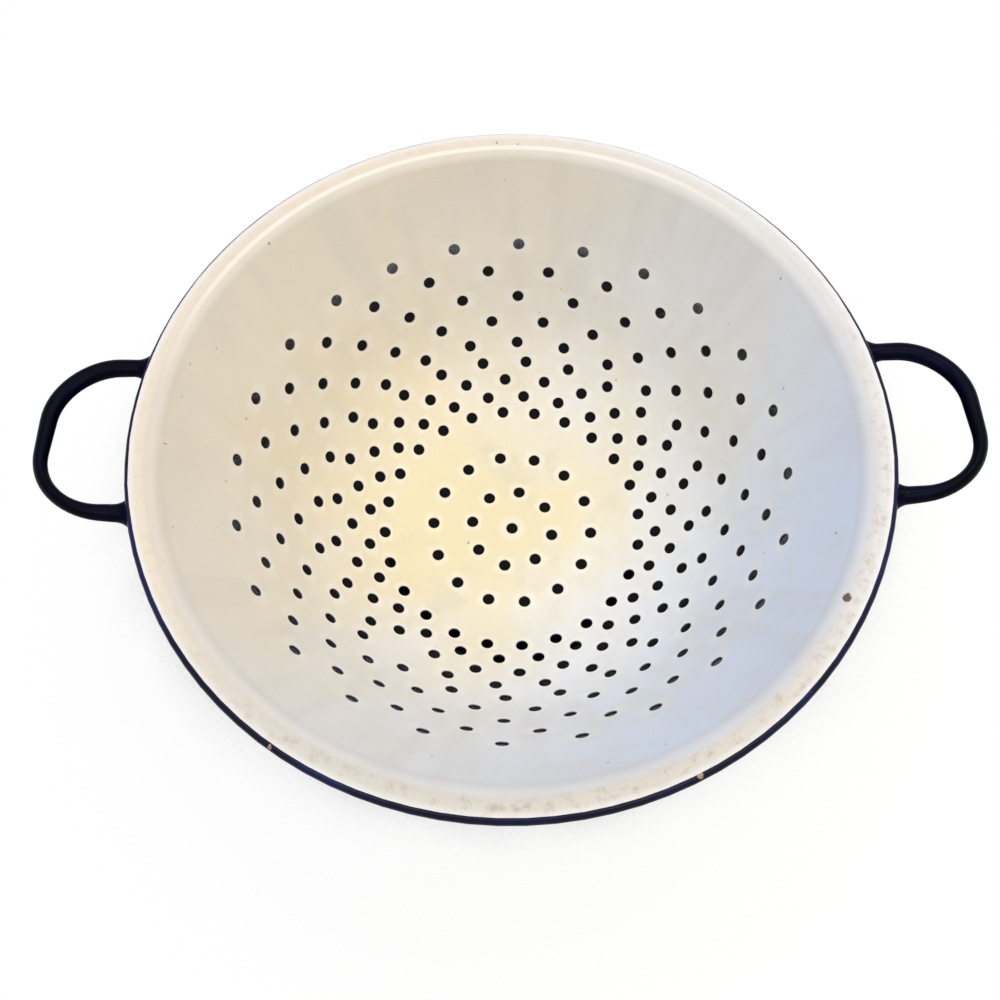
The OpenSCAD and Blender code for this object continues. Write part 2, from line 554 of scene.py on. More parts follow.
    def build(self) -> bpy.types.Object:
        """Builds the closed shell.

        Returns:
            The object, linked to the scene, with the point attribute hole_near.
        """
        mesh = bmesh.new()
        mesh.verts.layers.float.new("angle")
        mesh.verts.layers.float.new("hole_near")
        base, wall = self.pattern.rings_in_base(), self.pattern.rings_in_wall()
        for ring in base + wall:
            self.add_ring(mesh, ring)
        self.add_base(mesh, base, wall[0].low)
        self.add_rim(mesh, wall[-1].high)
        bmesh.ops.remove_doubles(mesh, verts=mesh.verts[:], dist=self.merge)
        mesh.verts.layers.float.remove(mesh.verts.layers.float["angle"])
        bmesh.ops.recalc_face_normals(mesh, faces=mesh.faces[:])
        widest = max(mesh.faces, key=lambda face: face.calc_area())
        if (widest.normal.z > 0) != (self.side is Side.INSIDE):
            bmesh.ops.reverse_faces(mesh, faces=mesh.faces[:])
        bmesh.ops.solidify(mesh, geom=mesh.faces[:], thickness=self.coat_t)
        return to_object(mesh, self.name)


def linked(name: str, data: bpy.types.ID) -> bpy.types.Object:
    """Makes an object of some data and links it to the scene."""
    made = bpy.data.objects.new(name, data)
    bpy.context.scene.collection.objects.link(made)
    return made


def to_object(mesh: Mesh, name: str) -> bpy.types.Object:
    """Turns a finished bmesh into a smooth object at the origin that rides on the body.

    Args:
        mesh: The finished mesh, which is freed.
        name: Name of the object.

    Returns:
        The new object.
    """
    data = bpy.data.meshes.new(name)
    mesh.to_mesh(data)
    mesh.free()
    data.shade_smooth()
    made = linked(name, data)
    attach(made, BODY)
    return made


@dataclass
class Handle:
    """A loop of half-round bar, welded on under the rim and bent a little out of true by use."""

    name: str
    line: BowlLine
    mirrored: bool = False
    span: float = 348 * MM
    leg_spacing: float = 60.4 * MM
    bar_w: float = 6.9 * MM
    bar_h: float = 4 * MM
    corner_r: float = 23.5 * MM
    tilt: float = 4.0
    drop: float = 5.2 * MM
    flare_w: float = 2.6 * MM
    flare_l: float = 5 * MM
    wall_t: float = 1.3 * MM
    leg_step: float = 0.9 * MM
    bank: float = 18.0
    slimmed: float = 0.84
    uneven: float = 0.3
    off_middle: float = 1.4 * MM
    askew: float = 1.8 * MM
    pulled_in: float = 1.5
    twist: float = 1.8
    section_sides: int = 28
    flat_round: float = 0.12
    corner_steps: int = 16
    root_inside: float = 1 * MM
    root_rise: float = 0.25
    weld_depth: float = 0.15 * MM
    merge: float = 0.01 * MM

    @property
    def out_x(self) -> float:
        """Distance of the outer stretch's middle from the bowl's axis."""
        return (self.span - self.bar_w * self.slimmed) / 2

    @property
    def pivot_x(self) -> float:
        """Distance from the axis at which the legs pass the rim."""
        return math.sqrt(self.line.rim_r**2 - (self.leg_spacing / 2) ** 2)

    def section(self, mesh: Mesh) -> list[Edge]:
        """Makes the half-round outline of the bar, standing across the middle of the outer stretch."""
        half = self.bar_w / 2
        made = bmesh.ops.create_circle(mesh, segments=self.section_sides, radius=half, cap_ends=False)
        flat = half - self.bar_h
        for vert in made["verts"]:
            x, y = vert.co.x, vert.co.y
            vert.co = Vector((x, 0.0, max(y, flat + self.flat_round * (y - flat))))
        edges = list({edge for vert in made["verts"] for edge in vert.link_edges})
        bmesh.ops.translate(mesh, verts=made["verts"], vec=Vector((self.out_x, 0, 0)))
        return edges

    def flared(self, place: Vector) -> Vector:
        """Widens a point of a leg where it nears the rim and lifts it against the rolled edge."""
        past = math.hypot(place.x, place.y) - self.line.rim_r
        share = held(1 - past / self.flare_l)
        grow = share * share * self.flare_w / (self.bar_w / 2)
        middle = self.leg_spacing / 2
        y = middle + (place.y - middle) * (1 + grow)
        return Vector((place.x, y, place.z + max(place.z, 0) * self.root_rise * share * share))

    def nearness(self, y: float) -> float:
        """How near the camera's side a point is: 1 at the near leg, -1 at the far leg."""
        return (1 if self.mirrored else -1) * y / (self.leg_spacing / 2)

    def bent(self, place: Vector) -> Vector:
        """Bends a point of the true loop as use has: banked round the outside, its near side pulled in.

        Args:
            place: Point of the flat loop.

        Returns:
            The point on the bent loop, still flat on the whole.
        """
        share = held((place.x - self.pivot_x) / (self.out_x - self.pivot_x))
        share *= share * (3 - 2 * share)
        leg_y = self.leg_spacing / 2
        past_x = max(place.x - (self.out_x - self.corner_r), 0.0)
        past_y = max(abs(place.y) - (leg_y - self.corner_r), 0.0)
        out = Vector((past_x, math.copysign(past_y, place.y), 0.0))
        aside = out.length - self.corner_r
        bank = math.radians(self.bank) * share
        slim = (1 - (1 - self.slimmed) * share) * (1 - self.uneven * self.nearness(place.y) * share)
        moved = place + out.normalized() * (aside * slim * math.cos(bank) - place.z * math.sin(bank) - aside)
        moved.z = aside * slim * math.sin(bank) + place.z * math.cos(bank)
        near = self.nearness(moved.y)
        to_far = -1 if self.mirrored else 1
        slant = math.tan(math.radians(self.pulled_in)) * held((1 + near) / 2)
        lift = near * leg_y * math.tan(math.radians(self.twist)) * share
        shift = self.off_middle + (moved.x - self.pivot_x) * slant
        return moved + Vector((self.askew / 2 * near * share, to_far * shift, lift))

    def placed(self, place: Vector) -> Vector:
        """Carries a point of the flat handle to its tilted place on the bowl."""
        lifted = place + Vector((-self.pivot_x, 0, (self.bar_h - self.bar_w) / 2))
        turned = Matrix.Rotation(math.radians(-self.tilt), 3, "Y") @ lifted
        return turned + Vector((self.pivot_x, 0, self.line.rim_z - self.drop))

    def half_loop(self, mesh: Mesh) -> None:
        """Sweeps half of the flat loop, from the middle of the outer stretch to the end of a leg."""
        end_of = mesh.verts.layers.float.new("end")
        edges = self.section(mesh)
        leg_y = self.leg_spacing / 2
        verts, edges = grown(mesh, edges)
        bmesh.ops.translate(mesh, verts=verts, vec=Vector((0, leg_y - self.corner_r, 0)))
        centre = Vector((self.out_x - self.corner_r, leg_y - self.corner_r, 0))
        turn = Matrix.Rotation(math.pi / 2 / self.corner_steps, 3, "Z")
        for _ in range(self.corner_steps):
            verts, edges = grown(mesh, edges)
            bmesh.ops.rotate(mesh, verts=verts, cent=centre, matrix=turn)
        root_x = math.sqrt((self.line.rim_r - self.line.rim_w + self.root_inside) ** 2 - leg_y**2)
        count = math.ceil((centre.x - root_x) / self.leg_step)
        for _ in range(count):
            verts, edges = grown(mesh, edges)
            bmesh.ops.translate(mesh, verts=verts, vec=Vector((-(centre.x - root_x) / count, 0, 0)))
        verts, edges = grown(mesh, edges)
        for vert in verts:
            vert[end_of] = 1.0
        for vert in mesh.verts:
            if vert.co.x < centre.x:
                vert.co = self.flared(vert.co)
        bmesh.ops.contextual_create(mesh, geom=edges)

    def build(self) -> bpy.types.Object:
        """Builds the handle.

        Returns:
            The object, linked to the scene.
        """
        mesh = bmesh.new()
        self.half_loop(mesh)
        whole = mesh.verts[:] + mesh.edges[:] + mesh.faces[:]
        bmesh.ops.mirror(mesh, geom=whole, axis="Y", merge_dist=self.merge)
        end_of = mesh.verts.layers.float["end"]
        for vert in mesh.verts:
            vert.co = self.placed(self.bent(vert.co))
            if vert[end_of] > 0.5:
                radius = self.line.outside_radius(vert.co.z, self.wall_t) - self.weld_depth
                vert.co.x = math.sqrt(max(radius**2 - vert.co.y**2, 0))
        mesh.verts.layers.float.remove(end_of)
        if self.mirrored:
            half_turn = Matrix.Rotation(math.pi, 3, "Z")
            bmesh.ops.rotate(mesh, verts=mesh.verts[:], cent=Vector(), matrix=half_turn)
        bmesh.ops.recalc_face_normals(mesh, faces=mesh.faces[:])
        return to_object(mesh, self.name)


@dataclass
class FootRing:
    """The ring that the colander stands on, with rounded edges."""

    line: BowlLine
    name: str = "foot_ring_blue"
    lift: float = 14.7 * MM
    top_r: float = 46 * MM
    edge_r: float = 55 * MM
    hem_w: float = 4 * MM
    flange_w: float = 4.5 * MM
    thick: float = 1.3 * MM
    wall_t: float = 1.3 * MM
    soft_edge: float = 0.45 * MM
    seat_steps: tuple[float, ...] = (0.0, 0.5, 1.0)
    round_steps: int = 120
    edge_steps: int = 3
    sharp_a: float = 25.0
    merge: float = 0.005 * MM

    def outline(self) -> list[tuple[float, float]]:
        """Radius and height of the ring's section, from the hem up the outside and down the inside."""
        seat = []
        for share in self.seat_steps:
            radius = self.top_r - share * self.flange_w
            seat.append(self.line.at(self.line.distance_at(radius)).sunk(self.wall_t))
        inner = self.top_r - self.thick
        return [
            (self.edge_r, 0.0),
            (self.edge_r, self.thick),
            (self.edge_r - self.hem_w + self.thick, self.thick),
            *seat,
            (self.top_r - self.flange_w, self.lift - self.thick),
            (inner, self.lift - self.thick),
            (self.edge_r - self.hem_w, 0.0),
        ]

    def build(self) -> bpy.types.Object:
        """Builds the ring.

        Returns:
            The object, linked to the scene.
        """
        mesh = bmesh.new()
        verts = [mesh.verts.new((radius, 0.0, height)) for radius, height in self.outline()]
        edges = [mesh.edges.new((a, b)) for a, b in zip(verts, verts[1:] + verts[:1])]
        bmesh.ops.spin(
            mesh, geom=verts + edges, cent=Vector(), axis=Vector((0, 0, 1)), dvec=Vector(),
            angle=math.tau, steps=self.round_steps, use_merge=True,
        )
        bmesh.ops.remove_doubles(mesh, verts=mesh.verts[:], dist=self.merge)
        bmesh.ops.recalc_face_normals(mesh, faces=mesh.faces[:])
        least = math.radians(self.sharp_a)
        sharp = [e for e in mesh.edges if len(e.link_faces) == 2 and e.calc_face_angle(0.0) > least]
        bmesh.ops.bevel(
            mesh, geom=sharp, offset=self.soft_edge, affect="EDGES", segments=self.edge_steps, profile=0.5,
            material=-1,
        )
        return to_object(mesh, self.name)


class NodeSheet:
    """Adds nodes to one node tree and links them."""

    def __init__(self, tree: bpy.types.NodeTree) -> None:
        """Takes the tree that gets the nodes."""
        self.tree = tree

    def plug(self, value: object, socket: Socket) -> None:
        """Links an output to a socket, or sets the socket to a plain value."""
        if isinstance(value, Socket):
            self.tree.links.new(value, socket)
        elif isinstance(value, tuple) and socket.type == "RGBA":
            socket.default_value = (*value[:3], 1.0)
        else:
            socket.default_value = value

    def add(self, kind: str, inputs: dict[str | int, object] | None = None, **settings: object) -> Node:
        """Adds a node.

        Args:
            kind: Blender's name for the node's type.
            inputs: Values or output sockets, by input name or number.
            settings: Properties of the node, set first.

        Returns:
            The node.
        """
        node = self.tree.nodes.new(kind)
        for key, value in settings.items():
            setattr(node, key, value)
        for key, value in (inputs or {}).items():
            self.plug(value, node.inputs[key])
        return node

    def math(self, operation: str, *values: object, clamp: bool = False) -> Socket:
        """Adds a Math node and gives its result."""
        node = self.add("ShaderNodeMath", dict(enumerate(values)), operation=operation, use_clamp=clamp)
        return node.outputs[0]

    def times(self, first: object, second: object) -> Socket:
        """Multiplies two values."""
        return self.math("MULTIPLY", first, second)

    def vector(self, operation: str, *values: object) -> bpy.types.bpy_prop_collection:
        """Adds a Vector Math node and gives its outputs."""
        return self.add("ShaderNodeVectorMath", dict(enumerate(values)), operation=operation).outputs

    def flattened(self, place: object) -> Socket:
        """Gives a place with its height taken out."""
        return self.vector("MULTIPLY", place, (1.0, 1.0, 0.0))[0]

    def from_axis(self, place: object) -> Socket:
        """Gives the distance of a place from the axis."""
        return self.vector("LENGTH", self.flattened(place))["Value"]

    def swayed(self, value: object, noise: object, amount: float) -> Socket:
        """Adds noise about zero to a value."""
        return self.math("ADD", value, self.times(self.math("SUBTRACT", noise, 0.5), amount))

    def scaled(self, value: object, ends: Band, shares: Band = (0.0, 1.0)) -> Socket:
        """Stretches a value smoothly so that the first end gives the first share and the last the last."""
        names = ("Value", "From Min", "From Max", "To Min", "To Max")
        inputs = dict(zip(names, (value, *ends, *shares)))
        return self.add("ShaderNodeMapRange", inputs, interpolation_type="SMOOTHSTEP").outputs["Result"]

    def mix(self, share: object, first: object, second: object) -> Socket:
        """Mixes two colours and gives the result."""
        node = self.add("ShaderNodeMix", None, data_type="RGBA")
        for number, value in ((0, share), (6, first), (7, second)):
            self.plug(value, node.inputs[number])
        return node.outputs[2]

    def noise(self, place: object, scale: float, detail: float = 3.0, rough: float = 0.5) -> Socket:
        """Adds a Noise texture and gives its value."""
        inputs = {"Vector": place, "Scale": scale, "Detail": detail, "Roughness": rough}
        return self.add("ShaderNodeTexNoise", inputs).outputs["Fac"]

    def shared(self, group: bpy.types.NodeTree, inputs: dict[str, object]) -> Node:
        """Places a shared group with its own values."""
        return self.add("ShaderNodeGroup", inputs, node_tree=group)


class SharedGroup:
    """Base for an effect that several materials use, as a node group with named sockets."""

    name = "shared"
    inputs: dict[str, float | None] = {}
    outputs: tuple[str, ...] = ()

    @classmethod
    def get(cls) -> bpy.types.NodeTree:
        """Gives the group, built at its first use."""
        found = bpy.data.node_groups.get(cls.name)
        if found:
            return found
        tree = bpy.data.node_groups.new(cls.name, "ShaderNodeTree")
        for name, value in cls.inputs.items():
            kind = "NodeSocketVector" if value is None else "NodeSocketFloat"
            socket = tree.interface.new_socket(name, in_out="INPUT", socket_type=kind)
            if value is not None:
                socket.default_value = value
        for name in cls.outputs:
            tree.interface.new_socket(name, in_out="OUTPUT", socket_type="NodeSocketFloat")
        sheet = NodeSheet(tree)
        source = sheet.add("NodeGroupInput").outputs
        drain = sheet.add("NodeGroupOutput")
        for name, value in zip(cls.outputs, cls.fill(sheet, source)):
            sheet.plug(value, drain.inputs[name])
        return tree

    @classmethod
    def fill(cls, sheet: NodeSheet, source: bpy.types.bpy_prop_collection) -> tuple[Socket, ...]:
        """Adds the group's nodes and gives its outputs."""
        raise NotImplementedError


class Specks(SharedGroup):
    """Scattered spots of uneven size and outline, such as pits, rust and dirt."""

    name = "specks"
    inputs = {"Place": None, "Scale": 900.0, "Share": 0.1, "Size": 0.3}
    outputs = ("Mask",)
    grain = 2600.0
    smallest = 0.4
    raggedness = 0.35
    sharpness = 9.0

    @classmethod
    def fill(cls, sheet: NodeSheet, source: bpy.types.bpy_prop_collection) -> tuple[Socket, ...]:
        """Adds the group's nodes and gives its outputs."""
        ragged = sheet.noise(source["Place"], cls.grain, 2.0)
        cell = sheet.add("ShaderNodeTexVoronoi", {"Vector": source["Place"], "Scale": source["Scale"]})
        chance = sheet.add("ShaderNodeSeparateColor", {0: cell.outputs["Color"]}).outputs
        chosen = sheet.math("LESS_THAN", chance[0], source["Share"])
        size = sheet.times(source["Size"], sheet.scaled(chance[1], (0.0, 1.0), (cls.smallest, 1.0)))
        edge = sheet.swayed(size, ragged, cls.raggedness)
        past = sheet.math("SUBTRACT", edge, cell.outputs["Distance"])
        inside = sheet.math("MULTIPLY", past, cls.sharpness, clamp=True)
        return (sheet.times(inside, chosen),)

    @classmethod
    def mask(cls, sheet: NodeSheet, place: object, scale: float, share: float, size: float) -> Socket:
        """Gives 1 on the specks, with values for their scale, share and size."""
        inputs = {"Place": place, "Scale": scale, "Share": share, "Size": size}
        return sheet.shared(cls.get(), inputs).outputs[0]


class Streaks(SharedGroup):
    """Soft streaks that run up the wall, from noise that changes fast round the axis and slowly along it."""

    name = "streaks"
    inputs = {"Place": None, "Round": 20.0, "Along": 3.0}
    outputs = ("Value", "Radius")
    least_r = 1 * MM
    along_unit = 10.0

    @classmethod
    def fill(cls, sheet: NodeSheet, source: bpy.types.bpy_prop_collection) -> tuple[Socket, ...]:
        """Adds the group's nodes and gives its outputs."""
        flat = sheet.add("ShaderNodeSeparateXYZ", {0: source["Place"]}).outputs[:2]
        radius = sheet.math("SQRT", sheet.math("ADD", *(sheet.math("POWER", part, 2.0) for part in flat)))
        safe = sheet.math("MAXIMUM", radius, cls.least_r)
        spread = [sheet.times(sheet.math("DIVIDE", part, safe), source["Round"]) for part in flat]
        along = sheet.times(radius, sheet.times(source["Along"], cls.along_unit))
        polar_place = sheet.add("ShaderNodeCombineXYZ", dict(enumerate((*spread, along)))).outputs[0]
        return sheet.noise(polar_place, 1.0, 3.0), radius


@dataclass(frozen=True)
class Patches:
    """Soft patches of noise: its grain, where a patch starts and is full, and its share at both."""

    grain: float
    detail: float
    rough: float
    ends: Band
    shares: Band = (0.0, 1.0)

    def mask(self, sheet: NodeSheet, place: object) -> Socket:
        """Gives the share at a place."""
        return sheet.scaled(sheet.noise(place, self.grain, self.detail, self.rough), self.ends, self.shares)


@dataclass(frozen=True)
class Across:
    """A share that changes across the bowl towards a side, given by a direction in degrees."""

    side: float
    ends: Band
    shares: Band = (0.0, 1.0)

    def towards(self, sheet: NodeSheet, place: object) -> Socket:
        """Gives how far a point lies towards the side, in metres."""
        turn = (0.0, 0.0, -math.radians(self.side))
        turned = sheet.add("ShaderNodeMapping", {"Vector": place, "Rotation": turn})
        return sheet.add("ShaderNodeSeparateXYZ", {0: turned.outputs[0]}).outputs[0]

    def mask(self, sheet: NodeSheet, place: object) -> Socket:
        """Gives the share at a place."""
        return sheet.scaled(self.towards(sheet, place), self.ends, self.shares)


@dataclass(frozen=True)
class Ring:
    """A ring round the axis, with the radii at which its inner and its outer edge start and are full."""

    inner: Band
    outer: Band

    def mask(self, sheet: NodeSheet, radius: object) -> Socket:
        """Gives 1 on the ring."""
        return sheet.times(sheet.scaled(radius, self.inner), sheet.scaled(radius, self.outer))


@dataclass(frozen=True)
class Mark:
    """One chip or spot that the photograph shows, seen from above, in millimetres."""

    x: float
    y: float
    radius: float
    full: float = 0.6

    def mask(self, sheet: NodeSheet, ragged: Socket) -> Socket:
        """Gives 1 on the mark, from a place whose noise makes the outline ragged."""
        away = sheet.vector("DISTANCE", ragged, (self.x * MM, self.y * MM, 0.0))["Value"]
        return sheet.scaled(away, (self.radius * MM, self.radius * MM * self.full))


def marks_mask(
    sheet: NodeSheet, place: object, marks: tuple[Mark, ...], grain: float = 900.0, sway: float = 1.6 * MM
) -> Socket:
    """Gives 1 on any of several marks.

    Args:
        sheet: Sheet that gets the nodes.
        place: Object coordinates.
        marks: The marks.
        grain: Scale of the noise that makes the outlines ragged.
        sway: How far that noise moves a point, in metres.

    Returns:
        The mask.
    """
    noise = sheet.add("ShaderNodeTexNoise", {"Vector": place, "Scale": grain, "Detail": 2.0})
    about_zero = sheet.vector("SUBTRACT", noise.outputs["Color"], (0.5, 0.5, 0.5))[0]
    small = sheet.add("ShaderNodeVectorMath", {0: about_zero, "Scale": sway}, operation="SCALE").outputs[0]
    flat = sheet.flattened(sheet.vector("ADD", place, small)[0])
    found = marks[0].mask(sheet, flat)
    for mark in marks[1:]:
        found = sheet.math("MAXIMUM", found, mark.mask(sheet, flat))
    return found


@dataclass(frozen=True)
class Finish:
    """Base of a finish: it makes one material and knows the record's slot for it."""

    name: str
    slot: str

    def build(self) -> bpy.types.Material:
        """Builds the material, or gives it if it is there.

        Returns:
            The material.
        """
        made = bpy.data.materials.get(self.name)
        if made:
            return made
        made = bpy.data.materials.new(self.name)
        made.use_nodes = True
        made.node_tree.nodes.clear()
        sheet = NodeSheet(made.node_tree)
        out = sheet.add("ShaderNodeOutputMaterial")
        sheet.plug(self.shade(sheet), out.inputs["Surface"])
        return made

    def shade(self, sheet: NodeSheet) -> Socket:
        """Adds the material's nodes and gives its shader."""
        raise NotImplementedError

    def dress(self, piece: bpy.types.Object) -> None:
        """Gives a new piece this finish."""
        piece.data.materials.clear()
        piece.data.materials.append(self.build())

    def dress_node(self, node: bpy.types.Object) -> None:
        """Gives a CAD node this finish in each of its material slots."""
        for slot in node.material_slots:
            slot.material = self.build()


@dataclass(frozen=True)
class Enamel(Finish):
    """Base of the enamels: glossy, with shallow waves, pits at its specks and duller patches."""

    sheen: Patches = Patches(60.0, 4.0, 0.5, (0.3, 0.75), (0.30, 0.45))
    specks: tuple[float, float, float] = (210.0, 0.05, 0.16)
    speck_share: float = 0.6
    wave_grain: float = 90.0
    wave_height: float = 0.8
    pit_depth: float = 0.4
    bump: float = 0.25
    bump_depth: float = 0.4 * MM
    refraction: float = 1.5
    specular: float = 0.3

    def surface(self, sheet: NodeSheet, place: object, specks: Socket) -> Socket:
        """Gives the height of the waves, with a pit at each speck."""
        waves = sheet.times(sheet.noise(place, self.wave_grain, 2.0), self.wave_height)
        return sheet.math("ADD", waves, sheet.times(specks, -self.pit_depth))

    def glaze(self, sheet: NodeSheet, place: object, body: object, height: object) -> Socket:
        """Adds the glossy shader and gives it.

        Args:
            sheet: Sheet that gets the nodes.
            place: Object coordinates.
            body: Colour of the enamel.
            height: Height of its waves and pits.

        Returns:
            The shader.
        """
        bumped = {"Strength": self.bump, "Distance": self.bump_depth, "Height": height}
        inputs = {
            "Base Color": body,
            "Roughness": self.sheen.mask(sheet, place),
            "Normal": sheet.add("ShaderNodeBump", bumped).outputs[0],
            "IOR": self.refraction,
            "Specular IOR Level": self.specular,
        }
        return sheet.add("ShaderNodeBsdfPrincipled", inputs).outputs[0]


@dataclass(frozen=True)
class CreamEnamel(Enamel):
    """Glossy off-white enamel with age: streaks, stains, specks, worn hole edges, and painted light, shade
    and highlights.

    Distances are in metres. A pair of distances says where a colour starts and where it is full.
    """

    warm: Colour = (0.79, 0.725, 0.615)
    # Painted light: cool colours that stand for cool light falling on the near right.
    painted_cool_light: Colour = (0.775, 0.805, 0.88)
    painted_coolest_light: Colour = (0.67, 0.75, 0.92)
    # Painted light: a warm glow in the middle of the bowl.
    base: Colour = (0.74, 0.645, 0.40)
    olive: Colour = (0.61, 0.555, 0.375)
    # Painted highlight: a pale ring round each hole.
    painted_hole_highlight: Colour = (0.88, 0.86, 0.80)
    rim: Colour = (0.80, 0.70, 0.57)
    # Painted light and shade on the flat rim: cooler to the right, darker on the near side.
    painted_cool_rim: Colour = (0.715, 0.70, 0.70)
    painted_near_rim_shade: Colour = (0.665, 0.63, 0.57)
    # Painted highlight along the outer edge of the rim.
    painted_edge_highlight: Colour = (0.88, 0.87, 0.87)
    # Painted shade in the bend between wall and flat rim.
    painted_bend_shade: Colour = (0.56, 0.52, 0.47)
    # Painted highlight: a pale line along the bend on the far side.
    painted_glint: Colour = (0.93, 0.90, 0.82)
    grime: Colour = (0.40, 0.30, 0.20)
    streak: Colour = (0.60, 0.59, 0.58)
    blotch: Colour = (0.66, 0.61, 0.53)
    dirt: Colour = (0.20, 0.13, 0.07)
    bare: Colour = (0.10, 0.055, 0.035)
    iron: Colour = (0.035, 0.027, 0.022)
    # Painted cool light: where it starts and where it is full towards the near right.
    painted_cool_light_side: Across = Across(-38.0, (-0.10, 0.10))
    painted_coolest_light_side: Across = Across(-38.0, (0.055, 0.12), (0.0, 0.85))
    # Painted cool light and painted shade on the flat rim: where each starts and is full.
    painted_cool_rim_side: Across = Across(-8.0, (-0.06, 0.12))
    painted_near_rim_shade_side: Across = Across(-90.0, (0.05, 0.125))
    grime_side: Across = Across(-62.0, (-0.04, 0.13), (0.12, 0.6))
    # Painted shade in the bend: stronger towards the near side, on the ring below.
    painted_bend_shade_side: Across = Across(-90.0, (-0.12, 0.0), (0.22, 0.42))
    # Painted highlight line along the bend: towards the far side, on the ring below.
    painted_glint_side: Across = Across(105.0, (0.04, 0.12), (0.0, 0.7))
    painted_bend_shade_ring: Ring = Ring((0.1255, 0.1285), (0.1345, 0.1315))
    painted_glint_ring: Ring = Ring((0.1302, 0.1312), (0.1332, 0.1322))
    flange_at: Band = (0.1294, 0.1332)
    # Painted highlight on the outer edge: where it starts and is full, and its share.
    painted_edge_highlight_at: Band = (0.1352, 0.1378)
    painted_edge_highlight_shares: Band = (0.0, 0.6)
    # Painted warm glow: its reach from the middle, its share, its centre, its noise and its sway.
    painted_glow_at: Band = (0.113, 0.012)
    painted_glow_shares: Band = (0.0, 0.95)
    painted_glow_middle: tuple[float, float] = (-0.014, 0.007)
    painted_glow_noise: tuple[float, float, float] = (30.0, 4.0, 0.6)
    painted_glow_sways: tuple[float, float] = (0.06, 0.05)
    olive_at: Band = (0.09, 0.04)
    olive_shares: Band = (0.0, 0.5)
    streak_at: Band = (0.06, 0.10)
    streak_shares: Band = (0.0, 0.2)
    streak_noise: Band = (0.45, 0.70)
    # Painted highlight round the holes: where it starts and is full, and its share.
    painted_hole_highlight_at: Band = (0.1, 0.45)
    painted_hole_highlight_shares: Band = (0.0, 0.3)
    worn_at: Band = (0.68, 0.92)
    cloud_grain: float = 14.0
    cloud_sway: float = 0.12
    olive_patches: Patches = Patches(48.0, 5.0, 0.65, (0.52, 0.72))
    blotches: Patches = Patches(26.0, 4.0, 0.6, (0.42, 0.68), (0.0, 0.22))
    mottle: Patches = Patches(210.0, 7.0, 0.75, (0.46, 0.70))
    worn: Patches = Patches(300.0, 3.0, 0.5, (0.3, 0.7), (0.5, 1.0))
    spot_share: float = 0.7
    chips: tuple[Mark, ...] = (Mark(112.1, -68.7, 1.9), Mark(57.6, -126.4, 1.0))
    spots: tuple[Mark, ...] = (
        Mark(-94.7, 86.1, 0.5), Mark(-113.6, 43.0, 0.45), Mark(-121.2, 32.5, 0.4), Mark(-126.5, -2.2, 0.45),
        Mark(107.7, 65.4, 0.5), Mark(108.4, 28.0, 0.4), Mark(115.0, -40.7, 0.5), Mark(-120.6, -34.6, 0.4),
        Mark(-120.6, -49.9, 0.4), Mark(-18.9, -6.5, 0.5), Mark(-3.0, 134.0, 0.6), Mark(6.0, 133.0, 0.5),
    )

    def wall(self, sheet: NodeSheet, place: object, clouds: object) -> Socket:
        """Gives the colour of base and wall: warm and cool clouds with painted cool light on the near right,
        and a painted warm glow in the middle.
        """
        # Painted light: the wall turns cooler towards the near right.
        side = sheet.swayed(self.painted_cool_light_side.towards(sheet, place), clouds, self.cloud_sway)
        body = sheet.mix(sheet.scaled(side, self.painted_cool_light_side.ends), self.warm, self.painted_cool_light)
        body = sheet.mix(self.painted_coolest_light_side.mask(sheet, place), body, self.painted_coolest_light)
        # Painted light: a warm glow that spreads from near the middle.
        back = (-self.painted_glow_middle[0], -self.painted_glow_middle[1], 0.0)
        moved = sheet.add("ShaderNodeMapping", {"Vector": place, "Location": back})
        away = sheet.from_axis(moved.outputs[0])
        patchy = sheet.swayed(away, sheet.noise(place, *self.painted_glow_noise), self.painted_glow_sways[0])
        patchy = sheet.swayed(patchy, clouds, self.painted_glow_sways[1])
        body = sheet.mix(sheet.scaled(patchy, self.painted_glow_at, self.painted_glow_shares), body, self.base)
        inner = sheet.scaled(away, self.olive_at, self.olive_shares)
        body = sheet.mix(sheet.times(self.olive_patches.mask(sheet, place), inner), body, self.olive)
        body = sheet.mix(self.blotches.mask(sheet, place), body, self.blotch)
        streaks = sheet.shared(Streaks.get(), {"Place": place, "Round": 9.0, "Along": 2.2}).outputs
        outer = sheet.scaled(streaks["Radius"], self.streak_at, self.streak_shares)
        drawn = sheet.times(sheet.scaled(streaks["Value"], self.streak_noise), outer)
        return sheet.mix(drawn, body, self.streak)

    def flange(self, sheet: NodeSheet, place: object, radius: object) -> Socket:
        """Gives the colour of the flat rim: warmer than the wall, with painted cool light to the right,
        painted shade on the near side, brown mottle on the near right and a painted highlight on the outer
        edge.
        """
        # Painted light: the rim turns cooler to the right; painted shade darkens it on the near side.
        body = sheet.mix(self.painted_cool_rim_side.mask(sheet, place), self.rim, self.painted_cool_rim)
        body = sheet.mix(self.painted_near_rim_shade_side.mask(sheet, place), body, self.painted_near_rim_shade)
        dirty = sheet.times(self.mottle.mask(sheet, place), self.grime_side.mask(sheet, place))
        body = sheet.mix(dirty, body, self.grime)
        # Painted highlight along the outer edge of the rim.
        return sheet.mix(sheet.scaled(radius, self.painted_edge_highlight_at, self.painted_edge_highlight_shares), body, self.painted_edge_highlight)

    def bend(self, sheet: NodeSheet, place: object, radius: object, body: object) -> Socket:
        """Paints shade into the bend between wall and flat rim, and a painted highlight line along it on the
        far side.
        """
        # Painted shade in the bend, strongest on the near side.
        dull = sheet.times(self.painted_bend_shade_ring.mask(sheet, radius), self.painted_bend_shade_side.mask(sheet, place))
